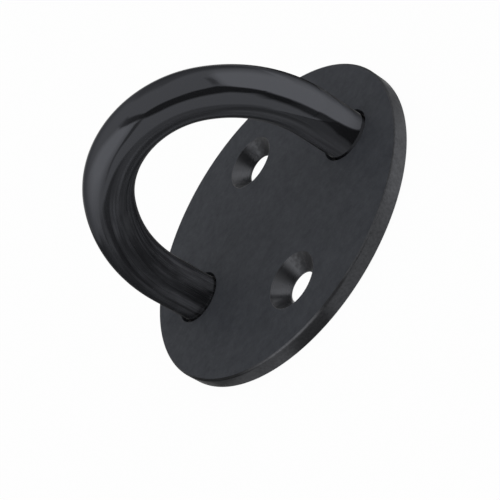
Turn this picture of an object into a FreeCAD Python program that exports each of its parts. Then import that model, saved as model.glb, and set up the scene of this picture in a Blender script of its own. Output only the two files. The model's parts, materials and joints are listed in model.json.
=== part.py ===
# Round pad eye: a bent round bar welded through a flat round plate that takes two countersunk screws.
# Millimetres. The plate's back face lies on Z = 0 with its centre at the origin, and +Z runs to the crown.
# The two legs stand on X, and the two screw holes lie on Y.
import FreeCAD
import Part
import math
import os
import Sketcher

document = FreeCAD.newDocument("round_pad_eye")

# Driving sizes
driving_sizes = [
    ("plate_diameter", 35.0, "round plate, outside"),
    ("plate_thickness", 1.6, "sheet that the plate is cut from"),
    ("edge_round", 0.2, "rounding of the plate's front edge"),
    ("edge_break", 0.1, "chamfer of the plate's back edge"),
    ("screw_inset", 7.0, "screw hole's centre to the plate's edge"),
    ("screw_hole", 3.2, "bore for the screw"),
    ("sink_diameter", 6.0, "countersink at the front face"),
    ("sink_angle", 90.0, "full angle of the countersink, in degrees"),
    ("bar_diameter", 5.0, "round bar of the bow"),
    ("leg_inset", 6.1, "leg's centre to the plate's edge"),
    ("leg_gap", 0.3, "gap round the leg in its hole, on the radius"),
    ("leg_straight", 4.2, "straight leg above the front face"),
    ("side_ease", 3.1, "side bends: radius over half the leg spacing"),
    ("crown_ease", 1.3, "crown bend: radius under half the leg spacing"),
    ("weld_chamfer", 0.6, "chamfer of the leg hole at the back, filled by the weld"),
    ("weld_root", 0.2, "weld that runs on into the gap past the chamfer"),
]
sheet = document.addObject("Spreadsheet::Sheet", "sizes")
for row, (alias, value, note) in enumerate(driving_sizes, start=1):
    sheet.set("A%d" % row, alias)
    sheet.set("B%d" % row, str(value))
    sheet.set("C%d" % row, note)
    sheet.setAlias("B%d" % row, alias)
document.recompute()
size = {alias: float(value) for alias, value, note in driving_sizes}

# Sizes that several pieces share, as expressions and as numbers for the first sketch geometry
leg_reach = "(sizes.plate_diameter / 2 - sizes.leg_inset)"
screw_reach = "(sizes.plate_diameter / 2 - sizes.screw_inset)"
leg_hole_radius = "(sizes.bar_diameter / 2 + sizes.leg_gap)"
plate_radius = size["plate_diameter"] / 2
reach = plate_radius - size["leg_inset"]
screw_y = plate_radius - size["screw_inset"]
bar_radius = size["bar_diameter"] / 2
hole_radius = bar_radius + size["leg_gap"]


def new_body(name):
    body = document.addObject("PartDesign::Body", name)
    body.Label = name
    return body


def new_sketch(body, name, role):
    sketch = body.newObject("Sketcher::SketchObject", name)
    plane = [feature for feature in body.Origin.OriginFeatures if feature.Role == role][0]
    sketch.AttachmentSupport = [(plane, "")]
    sketch.MapMode = "FlatFace"
    return sketch


def bind(sketch, constraint, name, expression):
    index = sketch.addConstraint(constraint)
    sketch.renameConstraint(index, name)
    sketch.setExpression("Constraints." + name, expression)


def point(x, y):
    return FreeCAD.Vector(x, y, 0)


def add_circle(sketch, x, y, radius):
    return sketch.addGeometry(Part.Circle(point(x, y), FreeCAD.Vector(0, 0, 1), radius), False)


def circle_edges(shape, radius, height):
    names = []
    for number, edge in enumerate(shape.Edges, start=1):
        if not isinstance(edge.Curve, Part.Circle):
            continue
        same_radius = abs(edge.Curve.Radius - radius) < 1e-6
        same_height = abs(edge.Curve.Center.z - height) < 1e-6
        if same_radius and same_height:
            names.append("Edge%d" % number)
    return names


# Two circles of one size, mirrored about the sketch's centre along one of its axes
def circle_pair(sketch, along_x, distance, distance_expression, radius, radius_expression):
    places = [(distance, 0), (-distance, 0)] if along_x else [(0, distance), (0, -distance)]
    first, second = [add_circle(sketch, x, y, radius) for x, y in places]
    axis = -1 if along_x else -2
    kind = "DistanceX" if along_x else "DistanceY"
    sketch.addConstraint(Sketcher.Constraint("PointOnObject", first, 3, axis))
    bind(sketch, Sketcher.Constraint(kind, -1, 1, first, 3, distance), "reach", distance_expression)
    sketch.addConstraint(Sketcher.Constraint("Symmetric", first, 3, second, 3, -1, 1))
    bind(sketch, Sketcher.Constraint("Radius", first, radius), "radius", radius_expression)
    sketch.addConstraint(Sketcher.Constraint("Equal", first, second))


# Base plate: a cut disc with two leg holes, chamfered at the back, and two countersunk screw holes
plate = new_body("base_plate")

disc_sketch = new_sketch(plate, "disc_outline", "XY_Plane")
disc = add_circle(disc_sketch, 0, 0, plate_radius)
disc_sketch.addConstraint(Sketcher.Constraint("Coincident", disc, 3, -1, 1))
disc_size = Sketcher.Constraint("Radius", disc, plate_radius)
bind(disc_sketch, disc_size, "radius", "sizes.plate_diameter / 2")

disc_pad = plate.newObject("PartDesign::Pad", "disc")
disc_pad.Profile = disc_sketch
disc_pad.setExpression("Length", "sizes.plate_thickness")
document.recompute()

leg_hole_sketch = new_sketch(plate, "leg_hole_outline", "XY_Plane")
circle_pair(leg_hole_sketch, True, reach, leg_reach, hole_radius, leg_hole_radius)

leg_holes = plate.newObject("PartDesign::Pocket", "leg_holes")
leg_holes.Profile = leg_hole_sketch
leg_holes.Type = "ThroughAll"
leg_holes.Reversed = True
document.recompute()

weld_seats = plate.newObject("PartDesign::Chamfer", "weld_seats")
weld_seats.Base = (leg_holes, circle_edges(leg_holes.Shape, hole_radius, 0))
weld_seats.setExpression("Size", "sizes.weld_chamfer")
document.recompute()

screw_hole_sketch = new_sketch(plate, "screw_hole_places", "XY_Plane")
screw_hole_sketch.setExpression("AttachmentOffset.Base.z", "sizes.plate_thickness")
screw_radius = "sizes.screw_hole / 2"
circle_pair(screw_hole_sketch, False, screw_y, screw_reach, size["screw_hole"] / 2, screw_radius)
document.recompute()

screw_holes = plate.newObject("PartDesign::Hole", "screw_holes")
screw_holes.Profile = screw_hole_sketch
screw_holes.DepthType = "ThroughAll"
screw_holes.HoleCutType = "Countersink"
screw_holes.HoleCutCustomValues = True
screw_holes.setExpression("Diameter", "sizes.screw_hole")
screw_holes.setExpression("HoleCutDiameter", "sizes.sink_diameter")
screw_holes.setExpression("HoleCutCountersinkAngle", "sizes.sink_angle")
document.recompute()

front_edge = plate.newObject("PartDesign::Fillet", "front_edge")
front_edge.Base = (screw_holes, circle_edges(screw_holes.Shape, plate_radius, size["plate_thickness"]))
front_edge.setExpression("Radius", "sizes.edge_round")
document.recompute()

back_edge = plate.newObject("PartDesign::Chamfer", "back_edge")
back_edge.Base = (front_edge, circle_edges(front_edge.Shape, plate_radius, 0))
back_edge.setExpression("Size", "sizes.edge_break")
document.recompute()

# Bow: one round bar on a line of two straight legs and three tangent arcs, its ends flush with the back face.
# The arcs' turn follows from the two eases, so the line stays tangent at any size.
bow = new_body("bow")

leg_top = size["plate_thickness"] + size["leg_straight"]
side_radius = reach + size["side_ease"]
crown_radius = reach - size["crown_ease"]
side_turn = math.acos(size["side_ease"] / (size["side_ease"] + size["crown_ease"]))
crown_height = leg_top + (side_radius - crown_radius) * math.sin(side_turn)


def add_arc(sketch, x, y, radius, start, end):
    circle = Part.Circle(point(x, y), FreeCAD.Vector(0, 0, 1), radius)
    return sketch.addGeometry(Part.ArcOfCircle(circle, start, end), False)


bow_line = new_sketch(bow, "bow_line", "XZ_Plane")
right_leg = bow_line.addGeometry(Part.LineSegment(point(reach, 0), point(reach, leg_top)), False)
right_bend = add_arc(bow_line, reach - side_radius, leg_top, side_radius, 0, side_turn)
crown = add_arc(bow_line, 0, crown_height, crown_radius, side_turn, math.pi - side_turn)
left_bend = add_arc(bow_line, side_radius - reach, leg_top, side_radius, math.pi - side_turn, math.pi)
left_leg = bow_line.addGeometry(Part.LineSegment(point(-reach, leg_top), point(-reach, 0)), False)

route = [right_leg, right_bend, crown, left_bend, left_leg]
for before, after in zip(route[:-1], route[1:]):
    bow_line.addConstraint(Sketcher.Constraint("Tangent", before, 2, after, 1))
bow_line.addConstraint(Sketcher.Constraint("Vertical", right_leg))
bow_line.addConstraint(Sketcher.Constraint("Vertical", left_leg))
bow_line.addConstraint(Sketcher.Constraint("PointOnObject", right_leg, 1, -1))
bow_line.addConstraint(Sketcher.Constraint("Symmetric", right_leg, 1, left_leg, 2, -2))
bow_line.addConstraint(Sketcher.Constraint("PointOnObject", crown, 3, -2))
bow_line.addConstraint(Sketcher.Constraint("Equal", right_bend, left_bend))
foot = Sketcher.Constraint("DistanceX", -1, 1, right_leg, 1, reach)
bind(bow_line, foot, "leg_reach", leg_reach)
shoulder = Sketcher.Constraint("DistanceY", -1, 1, right_leg, 2, leg_top)
bind(bow_line, shoulder, "leg_top", "sizes.plate_thickness + sizes.leg_straight")
bend_size = Sketcher.Constraint("Radius", right_bend, side_radius)
bind(bow_line, bend_size, "side_radius", leg_reach + " + sizes.side_ease")
crown_size = Sketcher.Constraint("Radius", crown, crown_radius)
bind(bow_line, crown_size, "crown_radius", leg_reach + " - sizes.crown_ease")

bar_sketch = new_sketch(bow, "bar_section", "XY_Plane")
section = add_circle(bar_sketch, reach, 0, bar_radius)
bar_sketch.addConstraint(Sketcher.Constraint("PointOnObject", section, 3, -1))
section_place = Sketcher.Constraint("DistanceX", -1, 1, section, 3, reach)
bind(bar_sketch, section_place, "leg_reach", leg_reach)
section_size = Sketcher.Constraint("Radius", section, bar_radius)
bind(bar_sketch, section_size, "radius", "sizes.bar_diameter / 2")
document.recompute()

bar = bow.newObject("PartDesign::AdditivePipe", "bar")
bar.Profile = bar_sketch
bar.Spine = (bow_line, [])
document.recompute()


# Weld: a ring of filler in the chamfer behind one leg, ground flush with the back face
def make_weld(name, leg_sign):
    weld = new_body(name)
    ring = new_sketch(weld, name + "_section", "XZ_Plane")
    chamfer = size["weld_chamfer"]
    top = chamfer + size["weld_root"]
    corners = [
        point(bar_radius, 0),
        point(hole_radius + chamfer, 0),
        point(hole_radius, chamfer),
        point(hole_radius, top),
        point(bar_radius, top),
    ]
    lines = []
    for start, end in zip(corners, corners[1:] + corners[:1]):
        lines.append(ring.addGeometry(Part.LineSegment(start, end), False))
    face, slope, wall, lid, core = lines
    for before, after in zip(lines, lines[1:] + lines[:1]):
        ring.addConstraint(Sketcher.Constraint("Coincident", before, 2, after, 1))
    ring.addConstraint(Sketcher.Constraint("PointOnObject", face, 1, -1))
    ring.addConstraint(Sketcher.Constraint("Horizontal", face))
    ring.addConstraint(Sketcher.Constraint("Vertical", wall))
    ring.addConstraint(Sketcher.Constraint("Horizontal", lid))
    ring.addConstraint(Sketcher.Constraint("Vertical", core))
    inner = Sketcher.Constraint("DistanceX", -1, 1, face, 1, bar_radius)
    bind(ring, inner, "bar_radius", "sizes.bar_diameter / 2")
    outer = Sketcher.Constraint("DistanceX", -1, 1, face, 2, hole_radius + chamfer)
    bind(ring, outer, "seat_radius", leg_hole_radius + " + sizes.weld_chamfer")
    neck = Sketcher.Constraint("DistanceX", -1, 1, wall, 1, hole_radius)
    bind(ring, neck, "hole_radius", leg_hole_radius)
    seat = Sketcher.Constraint("DistanceY", -1, 1, wall, 1, chamfer)
    bind(ring, seat, "chamfer", "sizes.weld_chamfer")
    root = Sketcher.Constraint("DistanceY", -1, 1, wall, 2, top)
    bind(ring, root, "root", "sizes.weld_chamfer + sizes.weld_root")
    turned = weld.newObject("PartDesign::Revolution", name + "_ring")
    turned.Profile = ring
    turned.ReferenceAxis = (ring, ["V_Axis"])
    turned.Angle = 360
    weld.setExpression("Placement.Base.x", "%d * %s" % (leg_sign, leg_reach))
    return weld


weld_1 = make_weld("weld_1", 1)
weld_2 = make_weld("weld_2", -1)
document.recompute()

# Checks and export
for item in document.Objects:
    if "Invalid" in item.State or "Error" in item.State:
        raise RuntimeError("%s failed: %s" % (item.Name, item.State))
pieces = [plate, bow, weld_1, weld_2]
for piece in pieces:
    if piece.Shape.isNull() or not piece.Shape.isValid() or len(piece.Shape.Solids) != 1:
        raise RuntimeError("%s is not one valid solid" % piece.Label)

os.makedirs("parts", exist_ok=True)
for piece in pieces:
    piece.Shape.exportStep("parts/%s.step" % piece.Label)
    box = piece.Shape.BoundBox
    corners = (box.XMin, box.YMin, box.ZMin, box.XMax, box.YMax, box.ZMax)
    print(piece.Label, "volume %.2f" % piece.Shape.Volume, "box", [round(value, 3) for value in corners])
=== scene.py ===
import json
import math
import bmesh
import bpy
from mathutils import Matrix, Vector


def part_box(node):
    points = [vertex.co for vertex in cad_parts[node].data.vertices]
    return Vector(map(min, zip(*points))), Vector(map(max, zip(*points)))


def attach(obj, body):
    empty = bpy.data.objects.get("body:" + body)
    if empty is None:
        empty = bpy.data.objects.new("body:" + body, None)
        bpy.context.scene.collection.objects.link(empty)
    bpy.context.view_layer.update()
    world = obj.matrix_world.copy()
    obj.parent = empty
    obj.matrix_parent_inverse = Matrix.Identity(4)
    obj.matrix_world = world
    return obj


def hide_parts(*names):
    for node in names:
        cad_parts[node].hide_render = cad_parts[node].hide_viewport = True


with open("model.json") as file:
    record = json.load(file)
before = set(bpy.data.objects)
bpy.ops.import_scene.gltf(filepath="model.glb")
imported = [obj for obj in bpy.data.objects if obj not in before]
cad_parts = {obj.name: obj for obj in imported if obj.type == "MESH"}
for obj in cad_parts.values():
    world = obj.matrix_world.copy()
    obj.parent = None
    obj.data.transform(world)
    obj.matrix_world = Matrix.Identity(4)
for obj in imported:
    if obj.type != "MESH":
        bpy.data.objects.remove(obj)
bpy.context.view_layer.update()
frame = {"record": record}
mm = 0.001

# What the solids and the mounts say, in metres
plateLow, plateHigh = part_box("base_plate")
bowLow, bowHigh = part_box("bow")
weldLow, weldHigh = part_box("weld_1")
screwMount = [mount for mount in frame["record"]["mounts"] if mount["name"] == "screw_holes"][0]
plateRadius = (plateHigh.x - plateLow.x) / 2
plateThickness = plateHigh.z
barRadius = (bowHigh.y - bowLow.y) / 2
legReach = bowHigh.x - barRadius
weldRadius = (weldHigh.x - weldLow.x) / 2
screwReach = screwMount["dims"]["spacing_y_mm"] * mm / 2
screwRadius = screwMount["dims"]["hole_r_mm"] * mm
print("frame loaded: plate %.1f mm across, bar %.1f mm" % (plateRadius * 2 / mm, barRadius * 2 / mm))


# Small helpers for node trees
def feed(tree, socket, value):
    if isinstance(value, bpy.types.NodeSocket):
        tree.links.new(value, socket)
    else:
        socket.default_value = value


def addNode(tree, kind, settings=None, values=None):
    node = tree.nodes.new(kind)
    for name, value in (settings or {}).items():
        setattr(node, name, value)
    for name, value in (values or {}).items():
        feed(tree, node.inputs[name], value)
    return node


def calc(tree, operation, first, second=0.0):
    return addNode(tree, "ShaderNodeMath", {"operation": operation}, {0: first, 1: second}).outputs[0]


def vectorCalc(tree, operation, values, result="Vector"):
    return addNode(tree, "ShaderNodeVectorMath", {"operation": operation}, values).outputs[result]


def remap(tree, value, low, high, outLow=0.0, outHigh=1.0):
    values = {"Value": value, "From Min": low, "From Max": high, "To Min": outLow, "To Max": outHigh}
    return addNode(tree, "ShaderNodeMapRange", None, values).outputs[0]


def noise(tree, vector, scale, detail, rough):
    values = {"Vector": vector, "Scale": scale, "Detail": detail, "Roughness": rough}
    return addNode(tree, "ShaderNodeTexNoise", None, values).outputs["Fac"]


def mixColour(tree, factor, first, second):
    values = {0: factor, 6: first, 7: second}
    return addNode(tree, "ShaderNodeMix", {"data_type": "RGBA"}, values).outputs[2]


def bump(tree, height, depth, below=None):
    node = addNode(tree, "ShaderNodeBump", None, {"Height": height, "Strength": 1.0, "Distance": depth})
    if below is not None:
        tree.links.new(below, node.inputs["Normal"])
    return node.outputs[0]


def joinAxes(tree, x, y=0.0, z=0.0):
    return addNode(tree, "ShaderNodeCombineXYZ", None, {"X": x, "Y": y, "Z": z}).outputs[0]


def splitAxes(tree, vector):
    node = addNode(tree, "ShaderNodeSeparateXYZ", None, {"Vector": vector})
    return node.outputs["X"], node.outputs["Y"], node.outputs["Z"]


def degreesRound(tree, y, x):
    return calc(tree, "MULTIPLY", calc(tree, "ARCTAN2", y, x), 180 / math.pi)


def apart(tree, first, second):
    return calc(tree, "ABSOLUTE", calc(tree, "SUBTRACT", first, second))


def newMaterial(name):
    material = bpy.data.materials.new(name)
    material.use_nodes = True
    tree = material.node_tree
    return material, tree, tree.nodes["Principled BSDF"]


def objectPlace(tree):
    return addNode(tree, "ShaderNodeTexCoord").outputs["Object"]


def dress(tree, shader, values):
    for name, value in values.items():
        feed(tree, shader.inputs[name], value)


# Finishes. Each noise is how many to the metre, its detail and its roughness, and each span
# is the value where something begins and the value where it is full.
satinBlack = {
    "colour": (0.0250, 0.0268, 0.0313, 1),
    "worn": (0.0390, 0.0415, 0.0473, 1),
    "wornSpan": (0.35, 0.65),
    "mottle": (420.0, 4.0, 0.6),       # about 2.4 mm
    "blotch": (1500.0, 3.0, 0.6),      # about 0.7 mm
    "grain": (7500.0, 3.0, 0.65),      # about 0.13 mm
    "shares": (0.35, 0.4, 0.25),       # of mottle, blotch and grain
    "grainDepth": 0.0000025,
    "smear": (1800.0, 3.0, 0.5),       # where it is rougher
    "smearSpan": (0.3, 0.7),
    "roughness": (0.55, 0.65),
    "specular": 0.04,
}


def makeSatinBlack():
    material, tree, shader = newMaterial("satinBlackFace")
    place = objectPlace(tree)
    names = ("mottle", "blotch", "grain")
    mottle, blotch, grain = [noise(tree, place, *satinBlack[name]) for name in names]
    shares = zip((mottle, blotch, grain), satinBlack["shares"])
    coarse, middle, fine = [calc(tree, "MULTIPLY", part, share) for part, share in shares]
    pattern = calc(tree, "ADD", calc(tree, "ADD", coarse, middle), fine)
    worn = remap(tree, pattern, *satinBlack["wornSpan"])
    smear = noise(tree, place, *satinBlack["smear"])
    dress(tree, shader, {
        "Base Color": mixColour(tree, worn, satinBlack["colour"], satinBlack["worn"]),
        "Roughness": remap(tree, smear, *satinBlack["smearSpan"], *satinBlack["roughness"]),
        "Specular IOR Level": satinBlack["specular"],
        "Normal": bump(tree, grain, satinBlack["grainDepth"]),
    })
    return material


turnedRim = {
    "colour": (0.0535, 0.0548, 0.0588, 1),
    "dull": (0.0360, 0.0368, 0.0396, 1),
    "metal": 0.85,
    "edgeTint": (0.45, 0.45, 0.45, 1),
    "grain": (3600.0, 4.0, 0.7),       # about 0.3 mm
    "grainSpan": (0.4, 0.7),
    "grainDepth": 0.000012,
    "patch": (500.0, 3.0, 0.6),        # about 2 mm
    "patchSpan": (0.35, 0.65),
    "roughness": (0.32, 0.5),
    # painted shade and painted highlight in stretches of the front edge: degrees round, half its length,
    # how much lighter
    "paintedEdgeLight": [(-133, 22, -0.75), (-96, 14, 0.5), (-78, 8, -0.5)],
    "paintedEdgeCore": 0.5,                   # share of its length at full strength
    "edgeSpan": (0.3 * mm, 0.1 * mm),  # below the face
}


def makeTurnedRim():
    material, tree, shader = newMaterial("turnedBlackRim")
    place = objectPlace(tree)
    grain = noise(tree, place, *turnedRim["grain"])
    patch = noise(tree, place, *turnedRim["patch"])
    grained = remap(tree, grain, *turnedRim["grainSpan"])
    colour = mixColour(tree, grained, turnedRim["colour"], turnedRim["dull"])
    x, y, z = splitAxes(tree, place)
    turn = degreesRound(tree, y, x)
    onEdge = remap(tree, z, *[plateThickness - depth for depth in turnedRim["edgeSpan"]])
    # painted highlight and painted shade on the front edge, set by the angle round the plate
    paintedShineAndShade = 1.0
    for middle, half, lighter in turnedRim["paintedEdgeLight"]:
        paintedStretch = remap(tree, apart(tree, turn, middle), half * turnedRim["paintedEdgeCore"], half, lighter, 0.0)
        paintedShineAndShade = calc(tree, "ADD", calc(tree, "MULTIPLY", paintedStretch, onEdge), paintedShineAndShade)
    dress(tree, shader, {
        "Base Color": vectorCalc(tree, "SCALE", {0: colour, "Scale": paintedShineAndShade}),
        "Metallic": turnedRim["metal"],
        "Roughness": remap(tree, patch, *turnedRim["patchSpan"], *turnedRim["roughness"]),
        "Specular Tint": turnedRim["edgeTint"],
        "Normal": bump(tree, grain, turnedRim["grainDepth"]),
    })
    return material


polishedBlack = {
    "colour": (0.0500, 0.0517, 0.0575, 1),
    "innerDark": (0.0300, 0.0310, 0.0348, 1),
    "innerLight": (0.0850, 0.0878, 0.0970, 1),
    "blotch": (0.6, 1.1),              # how dark and light the left bend's patches are
    "metal": 0.8,
    "specular": 0.15,
    "edgeTint": (0.35, 0.35, 0.35, 1),
    "roughness": 0.06,
    "innerRoughness": (0.14, 0.3),
    "innerSpan": (0.0, 0.5),           # where the drawn side begins, in bar radii inward
    "leftSpan": (-3 * mm, -9 * mm),    # where the left bend's finish begins, along the bow
    "leftReach": 0.7,                  # how far the drawn side comes round there
    "leftHaze": 0.07,
    # streaks: how many to the metre round the bar and along it
    "broadStreak": (1000.0, 30.0),
    "fineStreak": (3000.0, 80.0),
    "patchStreak": (700.0, 170.0),
    "streakNoise": (1.0, 3.0, 0.6),    # in the place so stretched
    "streakSpan": (0.4, 0.6),
    "dullSpan": (0.35, 0.65),
    "streakDepth": 0.0000008,
    # painted reflections in long light and dark lines: degrees round from the outer side, half the width,
    # millimetres along from the crown, first and last, and how much lighter
    "paintedReflectionLines": [
        (95, 7, -24.5, -7, 0.33), (119, 7, -24.5, -12, -0.4), (132, 4, -17.5, -12, 0.4),
        (147, 6, -24.5, -15, 0.15), (69, 8, -20.5, -11, -0.12), (80, 4, -22, -8, 0.25),
        (101, 4, 1, 19, -0.3), (124, 5, 0, 14, 0.22), (113, 6, -2, 24.5, 0.14),
        (176, 10, -24.5, -15, 0.75),
    ],
    "lineFade": (0.3, 1.3),            # from full to none, in half widths
    "lineEnd": 1.5,                    # millimetres that an end fades over, to each side
    "lineWander": 10.0,                # degrees from side to side
}


def streaks(tree, section, along, scales):
    across, beside = splitAxes(tree, section)[:2]
    around, lengthwise = scales
    x, y = [calc(tree, "MULTIPLY", part, around) for part in (across, beside)]
    stretched = joinAxes(tree, x, y, calc(tree, "MULTIPLY", along, lengthwise))
    return noise(tree, stretched, *polishedBlack["streakNoise"])


def paintedLineTone(tree, section, along, wander):
    across, beside = splitAxes(tree, section)[:2]
    backwards = [calc(tree, "MULTIPLY", part, -1.0) for part in (beside, across)]
    sway = calc(tree, "MULTIPLY", calc(tree, "SUBTRACT", wander, 0.5), polishedBlack["lineWander"])
    turn = calc(tree, "ADD", degreesRound(tree, *backwards), sway)
    near, far = polishedBlack["lineFade"]
    fade = polishedBlack["lineEnd"]
    paintedShineAndShade = 1.0
    # painted reflections: lighter and darker lines at set places round and along the bar
    for middle, half, first, last, lighter in polishedBlack["paintedReflectionLines"]:
        line = remap(tree, apart(tree, turn, middle), half * near, half * far, lighter, 0.0)
        start = remap(tree, along, (first - fade) * mm, (first + fade) * mm)
        end = remap(tree, along, (last - fade) * mm, (last + fade) * mm, 1.0, 0.0)
        paintedShineAndShade = calc(tree, "ADD", calc(tree, "MULTIPLY", line, calc(tree, "MULTIPLY", start, end)), paintedShineAndShade)
    return paintedShineAndShade


def makePolishedBlack():
    material, tree, shader = newMaterial("polishedBlackBar")
    section = addNode(tree, "ShaderNodeAttribute", {"attribute_name": "section"}).outputs["Vector"]
    along = addNode(tree, "ShaderNodeAttribute", {"attribute_name": "along"}).outputs["Fac"]
    names = ("broadStreak", "fineStreak", "patchStreak")
    broad, fine, patchy = [streaks(tree, section, along, polishedBlack[name]) for name in names]
    # the wheel polishes the outer side, and leaves the inside of the bend drawn and dull;
    # its streaked colour there, lighter on the whole, is also painted reflection of the plate
    inward = calc(tree, "DIVIDE", splitAxes(tree, section)[0], barRadius)
    leftBend = remap(tree, along, *polishedBlack["leftSpan"])
    reach = calc(tree, "ADD", inward, calc(tree, "MULTIPLY", leftBend, polishedBlack["leftReach"]))
    ragged = calc(tree, "ADD", reach, calc(tree, "SUBTRACT", broad, 0.5))
    inside = remap(tree, ragged, *polishedBlack["innerSpan"])
    pattern = calc(tree, "ADD", calc(tree, "MULTIPLY", broad, 0.5), calc(tree, "MULTIPLY", fine, 0.5))
    shade = remap(tree, pattern, *polishedBlack["streakSpan"])
    drawnAndPaintedReflection = mixColour(tree, shade, polishedBlack["innerDark"], polishedBlack["innerLight"])
    patches = remap(tree, patchy, *polishedBlack["streakSpan"], *polishedBlack["blotch"])
    blotch = calc(tree, "ADD", calc(tree, "MULTIPLY", calc(tree, "SUBTRACT", patches, 1.0), leftBend), 1.0)
    blotched = vectorCalc(tree, "SCALE", {0: drawnAndPaintedReflection, "Scale": blotch})
    colour = mixColour(tree, inside, polishedBlack["colour"], blotched)
    bright = polishedBlack["roughness"]
    dull = remap(tree, fine, *polishedBlack["dullSpan"], *polishedBlack["innerRoughness"])
    sheen = calc(tree, "MULTIPLY", calc(tree, "SUBTRACT", dull, bright), inside)
    haze = calc(tree, "ADD", calc(tree, "MULTIPLY", leftBend, polishedBlack["leftHaze"]), bright)
    paintedShineAndShade = paintedLineTone(tree, section, along, broad)
    dress(tree, shader, {
        "Base Color": vectorCalc(tree, "SCALE", {0: colour, "Scale": paintedShineAndShade}),
        "Metallic": polishedBlack["metal"],
        "Roughness": calc(tree, "ADD", sheen, haze),
        "Specular IOR Level": polishedBlack["specular"],
        "Specular Tint": polishedBlack["edgeTint"],
        "Normal": bump(tree, fine, polishedBlack["streakDepth"]),
    })
    return material


turnedSink = {
    "colour": (0.0515, 0.0530, 0.0580, 1),
    "dull": (0.0260, 0.0268, 0.0295, 1),
    "dullAndShadedSide": (0.92, 0.39, 0),       # the way from the hole to its dull side, rougher there, and darker with painted shade
    "dullSpan": (0.5, 0.95),
    "dullRougher": 0.22,
    "wear": (2600.0, 3.0, 0.5),        # about 0.4 mm
    "wearSwing": 0.9,                  # how ragged the dull side is
    "shadedWedgeSide": (-0.31, 0.95, 0),      # the way to a narrow wedge of painted shade
    "darkSpan": (0.9, 0.99),
    "darkShare": 0.9,
    "metal": 0.76,
    "anisotropic": 0.4,
    "rings": (16000.0, 2.0, 0.6),      # tool marks about 0.06 mm apart
    "ringSpan": (0.3, 0.7),
    "ringDepth": 0.0000008,
    "roughness": (0.25, 0.35),
    "lean": 0.27,                      # the tool marks lean the shine toward the hole
}


def makeTurnedSink():
    material, tree, shader = newMaterial("turnedBlackSink")
    place = objectPlace(tree)
    x, y = splitAxes(tree, place)[:2]
    fromHole = calc(tree, "SUBTRACT", y, calc(tree, "MULTIPLY", calc(tree, "SIGN", y), screwReach))
    spoke = joinAxes(tree, x, fromHole)
    outward = vectorCalc(tree, "NORMALIZE", {0: spoke})
    radius = vectorCalc(tree, "LENGTH", {0: spoke}, "Value")
    rings = noise(tree, joinAxes(tree, radius), *turnedSink["rings"])
    toDull = vectorCalc(tree, "DOT_PRODUCT", {0: outward, 1: turnedSink["dullAndShadedSide"]}, "Value")
    toDark = vectorCalc(tree, "DOT_PRODUCT", {0: outward, 1: turnedSink["shadedWedgeSide"]}, "Value")
    wear = calc(tree, "SUBTRACT", noise(tree, place, *turnedSink["wear"]), 0.5)
    ragged = calc(tree, "ADD", toDull, calc(tree, "MULTIPLY", wear, turnedSink["wearSwing"]))
    # painted shade: one side of each hole and a narrow wedge are darker, by their way round it; that side
    # is rougher too
    worn = remap(tree, ragged, *turnedSink["dullSpan"])
    wedge = remap(tree, toDark, *turnedSink["darkSpan"], 0.0, turnedSink["darkShare"])
    darkened = calc(tree, "MAXIMUM", worn, wedge)
    ringed = remap(tree, rings, *turnedSink["ringSpan"], *turnedSink["roughness"])
    leaning = vectorCalc(tree, "SCALE", {0: outward, "Scale": -turnedSink["lean"]})
    facing = addNode(tree, "ShaderNodeNewGeometry").outputs["Normal"]
    tilted = vectorCalc(tree, "ADD", {0: facing, 1: leaning})
    steady = vectorCalc(tree, "NORMALIZE", {0: tilted})
    dress(tree, shader, {
        "Base Color": mixColour(tree, darkened, turnedSink["colour"], turnedSink["dull"]),
        "Metallic": turnedSink["metal"],
        "Roughness": calc(tree, "ADD", ringed, calc(tree, "MULTIPLY", worn, turnedSink["dullRougher"])),
        "Anisotropic": turnedSink["anisotropic"],
        # the marks run round the hole, so the shine spreads along its spokes
        "Tangent": spoke,
        "Normal": bump(tree, rings, turnedSink["ringDepth"], steady),
    })
    return material


groundWeld = {
    "colour": (0.022, 0.023, 0.026, 1),
    "bare": (0.034, 0.034, 0.036, 1),
    "root": (0.003, 0.003, 0.0035, 1),     # painted shade on what shows of it down in the gap
    "gapShadeHeight": 0.1 * mm,
    "blotch": (1500.0, 5.0, 0.65),         # about 0.7 mm
    "blotchSpan": (0.3, 0.7),
    "blotchDepth": 0.00001,
    "scratches": (600.0, 14000.0, 1.0),    # how many to the metre on each axis
    "scratchNoise": (1.0, 2.0, 0.5),       # in the place so stretched
    "scratchDepth": 0.000003,
    "roughness": (0.4, 0.62),
    "specular": 0.4,
}


def makeGroundWeld():
    material, tree, shader = newMaterial("groundBlackWeld")
    place = objectPlace(tree)
    blotch = noise(tree, place, *groundWeld["blotch"])
    scaled = {"Vector": place, "Scale": groundWeld["scratches"]}
    stretched = addNode(tree, "ShaderNodeMapping", None, scaled).outputs[0]
    scratch = noise(tree, stretched, *groundWeld["scratchNoise"])
    ground = mixColour(tree, blotch, groundWeld["colour"], groundWeld["bare"])
    # painted shade: the weld turns near black toward its top, down in the gap round the leg
    inGap = remap(tree, splitAxes(tree, place)[2], weldHigh.z - groundWeld["gapShadeHeight"], weldHigh.z)
    under = bump(tree, blotch, groundWeld["blotchDepth"])
    dress(tree, shader, {
        "Base Color": mixColour(tree, inGap, ground, groundWeld["root"]),
        "Roughness": remap(tree, blotch, *groundWeld["blotchSpan"], *groundWeld["roughness"]),
        "Specular IOR Level": groundWeld["specular"],
        "Normal": bump(tree, scratch, groundWeld["scratchDepth"], under),
    })
    return material


satinMaterial = makeSatinBlack()
polishedMaterial = makePolishedBlack()
rimMaterial = makeTurnedRim()
sinkMaterial = makeTurnedSink()
weldMaterial = makeGroundWeld()
print("finishes made")


def placeObject(name, data):
    made = bpy.data.objects.new(name, data)
    bpy.context.scene.collection.objects.link(made)
    return made


def finishPiece(piece, node):
    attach(piece, "root")
    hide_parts(node)


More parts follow.
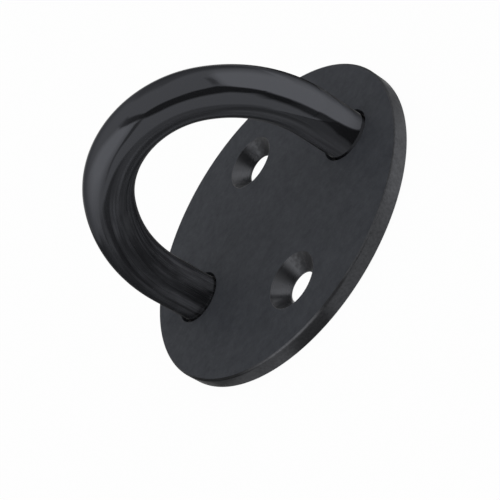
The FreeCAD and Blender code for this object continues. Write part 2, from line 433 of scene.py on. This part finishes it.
# Bow: a round bar swept along two legs and three tangent bends
bowForm = {
    "sideEase": 3.1 * mm,      # side bends: radius over half the leg spacing
    "crownEase": 1.3 * mm,     # crown bend: radius under half the leg spacing
    "stepsAlong": 281,
    "stepsAround": 96,
    "sharpAngle": 40,
}

bowInputs = {
    "Leg Length": "NodeSocketFloat",
    "Side Radius": "NodeSocketFloat",
    "Crown Radius": "NodeSocketFloat",
    "Crown Turn": "NodeSocketFloat",
    "Bar Radius": "NodeSocketFloat",
    "Steps Along": "NodeSocketInt",
    "Steps Around": "NodeSocketInt",
    "Finish": "NodeSocketMaterial",
}


def makeBowTree():
    tree = bpy.data.node_groups.new("bowSweep", "GeometryNodeTree")
    inputs = {}
    for name, kind in bowInputs.items():
        inputs[name] = tree.interface.new_socket(name=name, in_out="INPUT", socket_type=kind)
    tree.interface.new_socket(name="Geometry", in_out="OUTPUT", socket_type="NodeSocketGeometry")
    source = addNode(tree, "NodeGroupInput")

    def step(kind, values, settings=None):
        return addNode(tree, kind, settings, values).outputs[0]

    leg, side, crown, turn, bar, stepsAlong, stepsAround, finish = source.outputs[:len(bowInputs)]
    crownRun = calc(tree, "MULTIPLY", crown, turn)
    sideRun = calc(tree, "MULTIPLY", side, calc(tree, "SUBTRACT", math.pi / 2, turn))
    halfRun = calc(tree, "ADD", calc(tree, "ADD", crownRun, sideRun), leg)
    # run measures from the top of the crown, negative on the left
    line = step("GeometryNodeMeshLine", {"Count": stepsAlong})
    index = step("GeometryNodeInputIndex", {})
    done = calc(tree, "DIVIDE", index, calc(tree, "SUBTRACT", stepsAlong, 1.0))
    share = calc(tree, "SUBTRACT", calc(tree, "MULTIPLY", done, 2.0), 1.0)
    run = calc(tree, "MULTIPLY", share, halfRun)
    away = calc(tree, "ABSOLUTE", run)
    pastCrown = calc(tree, "SUBTRACT", away, crownRun)
    inCrown = calc(tree, "MINIMUM", away, crownRun)
    inSide = calc(tree, "MINIMUM", calc(tree, "MAXIMUM", pastCrown, 0.0), sideRun)
    inLeg = calc(tree, "MAXIMUM", calc(tree, "SUBTRACT", pastCrown, sideRun), 0.0)
    crownAngle = calc(tree, "DIVIDE", inCrown, crown)
    sideAngle = calc(tree, "ADD", turn, calc(tree, "DIVIDE", inSide, side))
    outCrown = calc(tree, "MULTIPLY", crown, calc(tree, "SINE", crownAngle))
    sineStep = calc(tree, "SUBTRACT", calc(tree, "SINE", sideAngle), calc(tree, "SINE", turn))
    out = calc(tree, "ADD", outCrown, calc(tree, "MULTIPLY", side, sineStep))
    downCrown = calc(tree, "MULTIPLY", crown, calc(tree, "SUBTRACT", 1.0, calc(tree, "COSINE", crownAngle)))
    cosineStep = calc(tree, "SUBTRACT", calc(tree, "COSINE", turn), calc(tree, "COSINE", sideAngle))
    down = calc(tree, "ADD", calc(tree, "ADD", downCrown, calc(tree, "MULTIPLY", side, cosineStep)), inLeg)
    spare = calc(tree, "MULTIPLY", calc(tree, "SUBTRACT", side, crown), calc(tree, "COSINE", turn))
    top = calc(tree, "ADD", calc(tree, "ADD", leg, spare), crown)
    across = calc(tree, "MULTIPLY", out, calc(tree, "SIGN", run))
    place = joinAxes(tree, across, 0.0, calc(tree, "SUBTRACT", top, down))
    # the bar, and what its finish reads: the place in its section and the run along it
    vectors, numbers = {"data_type": "FLOAT_VECTOR"}, {"data_type": "FLOAT"}
    circle = step("GeometryNodeCurvePrimitiveCircle", {"Resolution": stepsAround, "Radius": bar})
    onCircle = step("GeometryNodeInputPosition", {})
    inSection = {"Geometry": circle, "Name": "section", "Value": onCircle}
    profile = step("GeometryNodeStoreNamedAttribute", inSection, vectors)
    moved = step("GeometryNodeSetPosition", {"Geometry": line, "Position": place})
    alongRun = {"Geometry": moved, "Name": "along", "Value": run}
    marked = step("GeometryNodeStoreNamedAttribute", alongRun, numbers)
    route = step("GeometryNodeMeshToCurve", {"Mesh": marked})
    swept = step("GeometryNodeCurveToMesh", {"Curve": route, "Profile Curve": profile, "Fill Caps": True})
    smooth = step("GeometryNodeSetShadeSmooth", {"Geometry": swept})
    real = step("GeometryNodeRealizeInstances", {"Geometry": smooth})
    painted = step("GeometryNodeSetMaterial", {"Geometry": real, "Material": finish})
    target = addNode(tree, "NodeGroupOutput")
    tree.links.new(painted, target.inputs[0])
    return tree, inputs


def evaluatedMesh(holder, name):
    depsgraph = bpy.context.evaluated_depsgraph_get()
    mesh = bpy.data.meshes.new_from_object(holder.evaluated_get(depsgraph))
    mesh.name = name
    return mesh


def buildBow():
    tree, inputs = makeBowTree()
    sideRadius = legReach + bowForm["sideEase"]
    crownRadius = legReach - bowForm["crownEase"]
    crownTurn = math.asin(bowForm["sideEase"] / (bowForm["sideEase"] + bowForm["crownEase"]))
    crownTop = bowHigh.z - barRadius
    sizes = {
        "Leg Length": crownTop - crownRadius - (sideRadius - crownRadius) * math.cos(crownTurn),
        "Side Radius": sideRadius,
        "Crown Radius": crownRadius,
        "Crown Turn": crownTurn,
        "Bar Radius": barRadius,
        "Steps Along": bowForm["stepsAlong"],
        "Steps Around": bowForm["stepsAround"],
        "Finish": polishedMaterial,
    }
    holder = placeObject("bowHolder", bpy.data.meshes.new("bowHolder"))
    modifier = holder.modifiers.new("sweep", "NODES")
    modifier.node_group = tree
    for name, value in sizes.items():
        modifier[inputs[name].identifier] = value
    mesh = evaluatedMesh(holder, "bowBar")
    bpy.data.objects.remove(holder)
    mesh.set_sharp_from_angle(angle=math.radians(bowForm["sharpAngle"]))
    piece = placeObject("bowBar", mesh)
    finishPiece(piece, "bow")
    return piece


bow = buildBow()
print("bow swept: %d faces" % len(bow.data.polygons))


# Turned and drilled forms: rings of vertices joined into walls
def addRing(mesh, centre, radius, height, count):
    ring = []
    for step in range(count):
        angle = 2 * math.pi * step / count
        spot = (centre[0] + radius * math.cos(angle), centre[1] + radius * math.sin(angle), height)
        ring.append(mesh.verts.new(spot))
    return ring


def joinRings(mesh, first, second, materialIndex):
    count = len(first)
    for step in range(count):
        after = (step + 1) % count
        face = mesh.faces.new((first[step], first[after], second[after], second[step]))
        face.material_index = materialIndex
        face.smooth = True


def addWall(mesh, centre, profile, count, materialIndex):
    rings = [addRing(mesh, centre, radius, height, count) for radius, height in profile]
    for first, second in zip(rings[:-1], rings[1:]):
        joinRings(mesh, first, second, materialIndex)
    return rings[0], rings[-1]


def roundCorner(before, corner, after, radius, steps):
    # points of a small arc that takes the place of a corner in a profile
    toBefore = (Vector(before) - Vector(corner)).normalized()
    toAfter = (Vector(after) - Vector(corner)).normalized()
    halfAngle = toBefore.angle(toAfter) / 2
    reach = radius / math.tan(halfAngle)
    centre = Vector(corner) + (toBefore + toAfter).normalized() * (radius / math.sin(halfAngle))
    start = Vector(corner) + toBefore * reach - centre
    end = Vector(corner) + toAfter * reach - centre
    sweep = start.angle_signed(end)
    points = []
    for step in range(steps + 1):
        spoke = start.copy()
        spoke.rotate(Matrix.Rotation(-sweep * step / steps, 2))
        points.append(tuple(centre + spoke))
    return points


def finishMesh(mesh, name, materials, sharpAngle):
    bmesh.ops.recalc_face_normals(mesh, faces=mesh.faces)
    data = bpy.data.meshes.new(name)
    mesh.to_mesh(data)
    mesh.free()
    for material in materials:
        data.materials.append(material)
    data.set_sharp_from_angle(angle=math.radians(sharpAngle))
    return placeObject(name, data)


# Plate: a turned disc with two countersunk screw holes and a hole for each leg
plateForm = {
    "edgeRound": 0.2 * mm,     # front edge
    "edgeSteps": 10,
    "edgeBreak": 0.1 * mm,     # back edge
    "softCorner": 0.05 * mm,   # corners that the tool leaves
    "cornerSteps": 3,
    "legGap": 0.3 * mm,        # between the leg and its hole
    "sinkRadius": 3.0 * mm,
    "rimSteps": 320,
    "holeSteps": 128,
    "sharpAngle": 35,
}
plateFinishes = [satinMaterial, sinkMaterial, rimMaterial]
faceIndex, sinkIndex, rimIndex = range(3)
legHoleRadius = barRadius + plateForm["legGap"]


def softCorner(before, corner, after):
    return roundCorner(before, corner, after, plateForm["softCorner"], plateForm["cornerSteps"])


def rimProfile():
    outer, thick, cut = plateRadius, plateThickness, plateForm["edgeBreak"]
    edge = plateForm["edgeRound"], plateForm["edgeSteps"]
    front = roundCorner((0, thick), (outer, thick), (outer, 0), *edge)
    side = softCorner((outer, thick), (outer, cut), (outer - cut, 0))
    back = softCorner((outer, cut), (outer - cut, 0), (0, 0))
    return front + side + back


def sinkProfile():
    sink, hole, thick = plateForm["sinkRadius"], screwRadius, plateThickness
    throat = thick - (sink - hole)
    front = softCorner((sink * 2, thick), (sink, thick), (hole, throat))
    middle = softCorner((sink, thick), (hole, throat), (hole, 0))
    back = softCorner((hole, throat), (hole, 0), (hole * 2, 0))
    return front + middle + back


def legHoleProfile():
    chamfer = weldRadius - legHoleRadius
    start = (weldRadius * 2, plateThickness)
    front = softCorner(start, (legHoleRadius, plateThickness), (legHoleRadius, chamfer))
    return front + [(legHoleRadius, chamfer), (weldRadius, 0)]


def addFlat(mesh, rings):
    edges = []
    for ring in rings:
        for step, vertex in enumerate(ring):
            edges.append(mesh.edges.get((vertex, ring[(step + 1) % len(ring)])))
    made = bmesh.ops.triangle_fill(mesh, use_beauty=True, use_dissolve=False, edges=edges)
    for face in made["geom"]:
        if isinstance(face, bmesh.types.BMFace):
            face.material_index = faceIndex
            face.smooth = True


def buildPlate():
    mesh = bmesh.new()
    fronts, backs = [], []
    walls = [((0, 0), rimProfile(), plateForm["rimSteps"], rimIndex)]
    for sign in (1, -1):
        walls.append(((0, sign * screwReach), sinkProfile(), plateForm["holeSteps"], sinkIndex))
        walls.append(((sign * legReach, 0), legHoleProfile(), plateForm["holeSteps"], faceIndex))
    for centre, profile, count, materialIndex in walls:
        front, back = addWall(mesh, centre, profile, count, materialIndex)
        fronts.append(front)
        backs.append(back)
    addFlat(mesh, fronts)
    addFlat(mesh, backs)
    piece = finishMesh(mesh, "roundPlate", plateFinishes, plateForm["sharpAngle"])
    weigh = piece.modifiers.new("flatShade", "WEIGHTED_NORMAL")
    weigh.keep_sharp = True
    finishPiece(piece, "base_plate")
    return piece


plate = buildPlate()
print("plate made: %d faces" % len(plate.data.polygons))


# Welds: a ring of filler round each leg's end, ground flush
weldForm = {
    "ringSteps": 156,
    "faceSteps": 9,
    "rippleDepth": 0.02 * mm,
    "ripples": 26,
    "rippleLag": 3.2,          # radians that a ripple shifts on its way out from the leg
    "swells": 5,               # broader waves under the ripples
    "swellShare": 0.4,
    "swellTurn": 1.3,          # radians, to opposite sides on the two welds
    "sharpAngle": 35,
}


def weldWave(angle, share, sign):
    ripple = math.sin(weldForm["ripples"] * angle + weldForm["rippleLag"] * share)
    swell = math.sin(weldForm["swells"] * angle + weldForm["swellTurn"] * sign)
    most = 1 + weldForm["swellShare"]
    return (most + ripple + weldForm["swellShare"] * swell) / (2 * most)


def buildWeld(name, node, sign):
    inner, outer, top = barRadius, weldRadius, weldHigh.z
    profile = [(inner, top), (legHoleRadius, top), (legHoleRadius, outer - legHoleRadius), (outer, 0)]
    walls = len(profile)
    for step in range(1, weldForm["faceSteps"]):
        profile.append((outer + (inner - outer) * step / weldForm["faceSteps"], 0))
    profile.append((inner, 0))
    mesh = bmesh.new()
    centre, count = (sign * legReach, 0), weldForm["ringSteps"]
    rings = [addRing(mesh, centre, radius, height, count) for radius, height in profile]
    for first, second in zip(rings, rings[1:] + rings[:1]):
        joinRings(mesh, first, second, 0)
    # what the grinder left of the bead's ripples
    for ring, (radius, height) in zip(rings[walls:-1], profile[walls:-1]):
        share = (radius - inner) / (outer - inner)
        rise = weldForm["rippleDepth"] * math.sin(math.pi * share)
        for step, vertex in enumerate(ring):
            vertex.co.z += rise * weldWave(2 * math.pi * step / count, share, sign)
    piece = finishMesh(mesh, name, [weldMaterial], weldForm["sharpAngle"])
    finishPiece(piece, node)


for name, node, sign in (("weldRing1", "weld_1", 1), ("weldRing2", "weld_2", -1)):
    buildWeld(name, node, sign)
print("welds made")


def direction(azimuth, elevation):
    # azimuth runs round from the front, toward +X
    level = math.cos(elevation)
    return Vector((math.sin(azimuth) * level, -math.cos(azimuth) * level, math.sin(elevation)))


# The photo's view: a long lens from low on one side, with the camera turned on its axis
photoView = {
    "azimuth": 23.465,
    "elevation": 28.933,
    "roll": 59.672,
    "distance": 0.15794,
    "target": (-3.426 * mm, -1.445 * mm, 1.670 * mm),
    "lens": 115.13,
    "clip": (0.005, 20),
}


def placeCamera():
    azimuth, elevation, roll = [math.radians(photoView[key]) for key in ("azimuth", "elevation", "roll")]
    towardCamera = direction(azimuth, elevation)
    levelRight = (-towardCamera).cross(Vector((0, 0, 1))).normalized()
    levelUp = levelRight.cross(-towardCamera)
    viewUp = levelUp * math.cos(roll) + levelRight * math.sin(roll)
    viewRight = levelRight * math.cos(roll) - levelUp * math.sin(roll)
    data = bpy.data.cameras.new("photoCamera")
    data.lens = photoView["lens"]
    data.clip_start, data.clip_end = photoView["clip"]
    camera = placeObject("photoCamera", data)
    turn = Matrix((viewRight, viewUp, towardCamera)).transposed()
    spot = Vector(photoView["target"]) + towardCamera * photoView["distance"]
    camera.matrix_world = Matrix.Translation(spot) @ turn.to_4x4()
    bpy.context.scene.camera = camera


# Floor, and white for what the camera, the metal and any glass see of it
studio = {
    "floorHalf": 2.0,
    "floorDrop": 0.02 * mm,    # a hair under the plate, so that the two never show through each other
    "floorColour": (0.7, 0.7, 0.7, 1),
    "floorRoughness": 0.9,
    "floorSpecular": 0.1,
    "whiteShare": 0.96,
    "worldGrey": 0.5,
    "fillLight": 0.5,
    "fillSpread": 90,
    "centreHeight": 10 * mm,   # the wall cards stand round this height above the floor's middle
}
white = (1, 1, 1, 1)
wallCentre = Vector((0, 0, studio["centreHeight"]))


def seenDirectly(tree):
    path = addNode(tree, "ShaderNodeLightPath").outputs
    either = calc(tree, "MAXIMUM", path["Is Camera Ray"], path["Is Glossy Ray"])
    return calc(tree, "MAXIMUM", either, path["Is Transmission Ray"])


def coverShader(tree, cover, under, over):
    mixed = addNode(tree, "ShaderNodeMixShader", None, {0: cover, 1: under, 2: over})
    tree.links.new(mixed.outputs[0], tree.nodes["Material Output"].inputs["Surface"])


def makeFloor():
    material, tree, shader = newMaterial("paleFloor")
    dress(tree, shader, {
        "Base Color": studio["floorColour"],
        "Roughness": studio["floorRoughness"],
        "Specular IOR Level": studio["floorSpecular"],
    })
    glow = addNode(tree, "ShaderNodeEmission", None, {"Color": white, "Strength": 1.0})
    share = calc(tree, "MULTIPLY", seenDirectly(tree), studio["whiteShare"])
    coverShader(tree, share, shader.outputs[0], glow.outputs[0])
    half, low = studio["floorHalf"], -studio["floorDrop"]
    corners = [(-half, -half, low), (half, -half, low), (half, half, low), (-half, half, low)]
    data = bpy.data.meshes.new("paleFloor")
    data.from_pydata(corners, [], [(0, 1, 2, 3)])
    data.materials.append(material)
    floor = placeObject("paleFloor", data)


def makeWorld():
    world = bpy.data.worlds.new("softRoom")
    world.use_nodes = True
    bpy.context.scene.world = world
    tree = world.node_tree
    strength = remap(tree, seenDirectly(tree), 0.0, 1.0, studio["worldGrey"], 1.0)
    dress(tree, tree.nodes["Background"], {"Color": white, "Strength": strength})


def makeFill():
    # broad light from straight above that throws no shadow of the bow on the plate
    data = bpy.data.lights.new("topFill", "SUN")
    data.energy = studio["fillLight"] * math.pi
    data.angle = math.radians(studio["fillSpread"])
    data.use_shadow = False
    fill = placeObject("topFill", data)
    fill.visible_glossy = False


# Cards that only show in the polish: lit ones, and dark ones for the gaps between them.
# On a wall they are set by degrees round from the front and degrees up, seen from the bow,
# and fade from their corners in to a core, a smaller copy of the card round its heart.
wallCards = {
    "leftPanel": {
        "strength": 1.85, "away": 1.6, "core": 0.45, "heart": (-44, 50),
        "corners": [
            (-120, 22), (-114, 50), (-88, 68), (-50, 75), (-14, 68),
            (0, 50), (-8, 32), (-26, 18), (-60, 4), (-95, 6),
        ],
    },
    "topSeam": {
        "strength": 0.5, "away": 0.5, "core": 0.4, "heart": (76, 34),
        "corners": [(48, 26), (50, 22), (76, 31), (104, 35), (104, 39), (74, 36)],
    },
}

# Ribbons run along a wall from station to station: one side's place, the other side's
# and how much they cover, with the fade at each side in degrees.
ribbons = {
    "rightPanel": {
        "strength": 1.85, "away": 1.5, "fades": (3, 1),
        "stations": [
            (34, 4, 34, -12, 0), (40, 10, 40, -12, 1), (58, 25, 58, -12, 1), (76, 31, 76, -12, 1),
            (104, 33, 104, -12, 1), (112, 32, 112, -12, 0.9), (128, 28, 128, -12, 0.35),
            (144, 20, 144, -12, 0),
        ],
    },
    "darkBand": {
        "strength": 0.02, "away": 0.6, "fades": (2.5, 4),
        "stations": [
            (-10, 67, -22, 58, 0), (-6, 61, -9, 46, 0.9), (2, 50, -4, 29, 1), (13, 47, 0, 22, 1),
            (21, 42, 5, 19, 1), (28, 37, 9, 16, 1), (36, 33, 13, 13, 1), (42, 28, 18, 10, 1),
            (50, 25, 22, 8, 1), (48, 18, 26, 6, 1), (46, 12, 26, 1, 1), (45, 5, 25, -4, 1),
            (43, -2, 23, -10, 1),
        ],
    },
    "highSeam": {
        "strength": 0.15, "away": 0.5, "fades": (1.5, 1.5),
        "stations": [
            (-80, 83, -95, 73, 0), (-30, 76, -45, 67, 0.8), (-6, 66, -22, 58, 1),
            (0, 56, -10, 48, 1),
        ],
    },
    "thinSeam": {
        "strength": 0.3, "away": 0.5, "fades": (1.2, 1.2),
        "stations": [
            (-41, 5, -34, 3, 0), (-36.5, 12, -31.5, 10, 0.6), (-33, 17, -29, 13, 0.7),
            (-29, 20.5, -25, 15.5, 0.7), (-24, 24, -20, 18, 1), (-19, 30, -13, 26, 1),
            (-12, 41, -4, 38, 1),
        ],
    },
    "rearWall": {
        "strength": 0.55, "away": 0.5, "fades": (10, 1),
        "stations": [
            (136, 55, 136, -8, 0), (150, 55, 150, -8, 1), (176, 55, 176, -8, 1),
            (190, 50, 190, -8, 0),
        ],
    },
    "leftSkirt": {
        "strength": 0.3, "away": 0.5, "fades": (2, 1),
        "stations": [
            (-100, 1, -100, -9, 0), (-88, 3, -88, -9, 1), (-60, 2.5, -60, -9, 1), (-46, 1, -46, -9, 1),
            (-38, -2, -38, -9, 0),
        ],
    },
}

# On the floor and the plate they fan out from a hub, in rows of millimetres out, degrees from,
# degrees to and how much they cover, with the fade at each side in degrees. Heights and hubs are
# in millimetres too. They only show from above. Those lying on the plate, about 1.7 high,
# are painted reflections of the plate in the bow, light and dark.
floorCards = {
    "frontSheet": {
        "strength": 0.55, "height": 0.04, "hub": (0, 0), "fades": (12, 10),
        "rows": [
            (21, -85, 16, 0), (24, -85, 14, 1), (30, -85, 4, 1), (38, -80, -3, 1),
            (55, -80, -12, 0.8), (80, -75, -24, 0.5), (100, -70, -40, 0),
        ],
    },
    "leftSheet": {
        "strength": 0.24, "height": 0.06, "hub": (-12, 0), "fades": (8, 6),
        "rows": [
            (9, -200, 0, 0), (12, -200, 0, 1), (50, -190, -6, 1), (90, -165, -16, 1),
            (250, -112, -32, 1), (1900, -100, -42, 1),
        ],
    },
    "leftStreak": {
        "strength": 0.5, "height": 0.08, "hub": (-11.4, 0), "fades": (8, 8),
        "rows": [(6, -38, -4, 0), (9, -38, -4, 1), (30, -38, -4, 1), (60, -34, -6, 0)],
    },
    "leftFoot": {
        "strength": 0.02, "height": 1.72, "hub": (-11.4, 0), "fades": (15, 15),
        "rows": [
            (2.5, -175, 15, 1), (3.3, -175, 15, 1), (4.4, -175, -50, 0.5), (6, -175, -95, 0.6),
            (10, -170, -105, 0.6), (14, -165, -115, 0),
        ],
    },
    "leftUpperEdge": {
        "strength": 0.02, "height": 1.74, "hub": (-11.4, 0), "fades": (30, 4),
        "rows": [
            (2.5, 80, 135, 1), (2.7, 97, 155, 1), (3, 108, 167, 1), (3.5, 119, 178, 1), (4, 126, 185, 1),
            (5, 135, 194, 1), (6, 140, 199, 1), (8, 146, 205, 1), (11, 150, 211, 0),
        ],
    },
    "leftLowerEdge": {
        "strength": 0.02, "height": 1.74, "hub": (-11.4, 0), "fades": (4, 25),
        "rows": [
            (2.5, -87, -35, 1), (2.7, -109, -58, 1), (3, -120, -70, 1), (3.5, -131, -81, 1),
            (4, -138, -88, 1), (5, -147, -97, 1), (6, -152, -102, 1), (8, -158, -108, 1),
            (11, -163, -113, 0),
        ],
    },
    "leftInside": {
        "strength": 0.05, "height": 1.71, "hub": (-11.4, 0), "fades": (8, 10),
        "rows": [(2.5, 8, 62, 1), (7, 6, 56, 0.9), (11, 2, 46, 0.6), (15, 0, 40, 0)],
    },
    "rightSheet": {
        "strength": 1.85, "height": 0.08, "hub": (11.4, 0), "fades": (6, 42),
        "rows": [(15.9, 34, 146, 1), (60, 34, 146, 1), (1900, 34, 146, 1)],
    },
    "darkPath": {
        "strength": 0.02, "height": 0.1, "hub": (11.4, 0), "fades": (10, 6),
        "rows": [
            (15.9, 5, 41, 0.85), (20, 4, 39, 0.85), (26, 6, 38, 0.9), (36, 8, 38, 1), (57, 10, 40, 1),
            (85, 15, 41, 1), (115, 18, 42, 1), (263, 20, 44, 1), (1900, 21, 46, 1),
        ],
    },
    "rearShade": {
        "strength": 0.02, "height": 0.1, "hub": (11.4, 0), "fades": (25, 15),
        "rows": [(15.9, 140, 235, 1), (40, 140, 235, 1), (90, 150, 230, 0)],
    },
    "rearFoot": {
        "strength": 0.02, "height": 1.73, "hub": (11.4, 0), "fades": (30, 15),
        "rows": [
            (2.5, 85, 297, 1), (3, 105, 292, 1), (4, 118, 284, 1), (6, 135, 264, 1),
            (9, 138, 252, 1), (13, 140, 240, 1), (16, 145, 234, 1), (22, 150, 215, 1),
        ],
    },
    "darkFoot": {
        "strength": 0.05, "height": 1.72, "hub": (11.4, 0), "fades": (10, 6),
        "rows": [(2.5, 0, 50, 1), (6, 0, 47, 1), (9, 8, 45, 0.9), (13, 6, 42, 0.85)],
    },
    "legGlow": {
        "strength": 1.8, "height": 1.7, "hub": (11.4, 0), "fades": (8, 40),
        "rows": [(2.6, 42, 100, 0.6), (4, 42, 125, 0.85), (6, 40, 145, 1), (13, 36, 146, 1)],
    },
    "rimFront": {
        "strength": 1.1, "height": 0.12, "hub": (0, 0), "fades": (8, 5),
        "rows": [(16.5, -42, -12, 1), (19.5, -42, -12, 1), (21, -42, -12, 0)],
    },
    "rimShade": {
        "strength": 0.3, "height": 0.12, "hub": (0, 0), "fades": (5, 5),
        "rows": [(16, -13, 9, 1), (20, -13, 9, 1), (23, -13, 9, 0)],
    },
    "rimGlow": {
        "strength": 1.75, "height": 0.12, "hub": (0, 0), "fades": (14, 14),
        "rows": [(16, 36, 90, 1), (20, 36, 90, 1), (23, 36, 90, 0)],
    },
}

# A glowing grey sheet over the whole face, seen only from above: the bow's painted reflection of
# the plate. Height and reach in millimetres, and degrees from corner to corner
paintedPlateReflection = {"strength": 0.42, "height": 1.66, "reach": 17.3, "core": 0.97, "turnStep": 12}

# Glowing grey sheets in the leg holes: the legs' painted reflection of the holes' walls.
# Side, strength, and how many degrees round they lie and reach
holeReflectionCards = {"rightHoleReflection": (1, 0.4, -50, 60), "leftHoleReflection": (-1, 0.05, -60, 120)}
holeReflectionForm = {
    "steps": 72,
    "clear": 0.01 * mm,        # off the hole's wall
    "fade": 25,                # degrees
}


def onWall(corner, away):
    azimuth, elevation = [math.radians(angle) for angle in corner]
    return wallCentre + direction(azimuth, elevation) * away


def onFloor(azimuth, reach, hub, height):
    turn = math.radians(azimuth)
    return Vector((hub[0] + math.sin(turn) * reach, hub[1] - math.cos(turn) * reach, height)) * mm


def makeCard(name, strength, points, faces, covers, fromAbove):
    material, tree = newMaterial(name)[:2]
    light = addNode(tree, "ShaderNodeEmission", None, {"Color": white, "Strength": strength})
    clear = addNode(tree, "ShaderNodeBsdfTransparent")
    cover = addNode(tree, "ShaderNodeAttribute", {"attribute_name": "cover"}).outputs["Fac"]
    if fromAbove:
        below = addNode(tree, "ShaderNodeNewGeometry").outputs["Backfacing"]
        cover = calc(tree, "MULTIPLY", cover, calc(tree, "SUBTRACT", 1.0, below))
    coverShader(tree, cover, clear.outputs[0], light.outputs[0])
    data = bpy.data.meshes.new(name)
    data.from_pydata(points, [], faces)
    data.attributes.new("cover", "FLOAT", "POINT").data.foreach_set("value", covers)
    data.materials.append(material)
    card = placeObject(name, data)
    card.visible_camera = False
    card.visible_diffuse = False
    card.visible_shadow = False


def makeCoredCard(name, strength, outer, heart, core, fromAbove):
    count = len(outer)
    inner = [heart.lerp(point, core) for point in outer]
    faces = [(step, (step + 1) % count, count + (step + 1) % count, count + step) for step in range(count)]
    faces.append(tuple(range(count, 2 * count)))
    makeCard(name, strength, outer + inner, faces, [0.0] * count + [1.0] * count, fromAbove)


def makeRowCard(name, strength, points, covers, fromAbove):
    # four points to a row: its two sides, and between them the places where the fades end
    faces = []
    for row in range(0, len(points) - 4, 4):
        for near in range(row, row + 3):
            faces.append((near, near + 4, near + 5, near + 1))
    makeCard(name, strength, points, faces, covers, fromAbove)


def makeFan(name, card):
    points, covers = [], []
    first, last = card["fades"]
    for reach, start, end, cover in card["rows"]:
        for azimuth, share in ((start, 0), (start + first, 1), (end - last, 1), (end, 0)):
            points.append(onFloor(azimuth, reach, card["hub"], card["height"]))
            covers.append(float(cover * share))
    makeRowCard(name, card["strength"], points, covers, True)


def makeRibbon(name, card):
    points, covers = [], []
    for station in card["stations"]:
        one, other = onWall(station[0:2], card["away"]), onWall(station[2:4], card["away"])
        spread = math.degrees((one - wallCentre).angle(other - wallCentre))
        first, last = [fade / spread for fade in card["fades"]]
        for share, part in ((-first, 0), (first, 1), (1 - last, 1), (1 + last, 0)):
            points.append(one.lerp(other, share))
            covers.append(float(station[4] * part))
    makeRowCard(name, card["strength"], points, covers, False)


# painted reflection of the plate, as the bow shows it
def makePaintedPlateReflection():
    height = paintedPlateReflection["height"]
    azimuths = range(0, 360, paintedPlateReflection["turnStep"])
    outer = [onFloor(azimuth, paintedPlateReflection["reach"], (0, 0), height) for azimuth in azimuths]
    middle = onFloor(0, 0, (0, 0), height)
    makeCoredCard("paintedPlateReflection", paintedPlateReflection["strength"], outer, middle, paintedPlateReflection["core"], True)


# painted reflection of a leg hole's wall, as the leg shows it
def makeHoleReflection(name, sign, strength, middle, half):
    count = holeReflectionForm["steps"]
    reach = legHoleRadius - holeReflectionForm["clear"]
    points, covers, faces = [], [], []
    for height in (weldHigh.z, plateThickness):
        for step in range(count):
            turn = 2 * math.pi * step / count
            points.append((sign * legReach + reach * math.cos(turn), reach * math.sin(turn), height))
            away = abs((360 * step / count - middle + 180) % 360 - 180)
            covers.append(min(1.0, max(0.0, (half - away) / holeReflectionForm["fade"])))
    for step in range(count):
        after = (step + 1) % count
        faces.append((step, count + step, count + after, after))
    makeCard(name, strength, points, faces, covers, True)


def makeCards():
    for name, card in wallCards.items():
        away = card["away"]
        outer = [onWall(corner, away) for corner in card["corners"]]
        makeCoredCard(name, card["strength"], outer, onWall(card["heart"], away), card["core"], False)
    for name, card in ribbons.items():
        makeRibbon(name, card)
    for name, card in floorCards.items():
        makeFan(name, card)
    makePaintedPlateReflection()
    for name, holeReflection in holeReflectionCards.items():
        makeHoleReflection(name, *holeReflection)


placeCamera()
makeFloor()
makeWorld()
makeFill()
makeCards()

bpy.context.scene.view_settings.view_transform = "Standard"
print("studio set")
